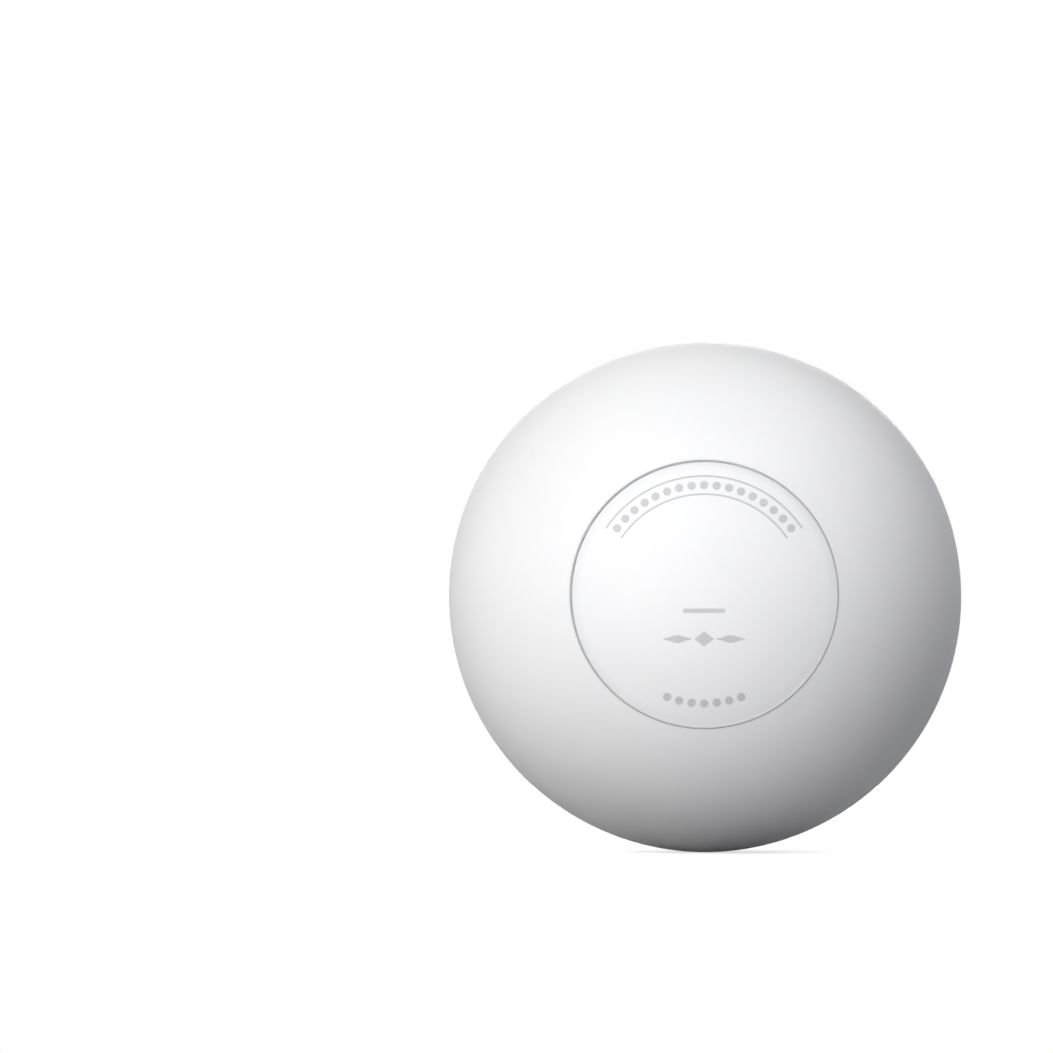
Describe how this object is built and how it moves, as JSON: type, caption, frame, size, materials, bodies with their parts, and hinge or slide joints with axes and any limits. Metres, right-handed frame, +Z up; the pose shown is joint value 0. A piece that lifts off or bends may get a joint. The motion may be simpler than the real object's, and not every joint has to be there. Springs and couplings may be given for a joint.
{
  "type": "lacrosse ball",
  "caption": "Solid white rubber ball for lacrosse, with a sunk round panel at each end of its moulding axis and a grey painted line round each panel.",
  "frame": {"origin": "centre of the ball", "axes": "+Y along the moulding axis, from the large panel at -Y to the small panel at +Y; +Z up; +X to the right as seen facing the large panel"},
  "size_m": [0.0634, 0.063, 0.0634],
  "materials": {
    "white_rubber": "satin vulcanised rubber, white all through",
    "grey_line_paint": "matt grey paint"
  },
  "bodies": {
    "root": {"rubber_ball": "white_rubber", "large_panel_line": "grey_line_paint", "small_panel_line": "grey_line_paint"}
  },
  "joints": []
}
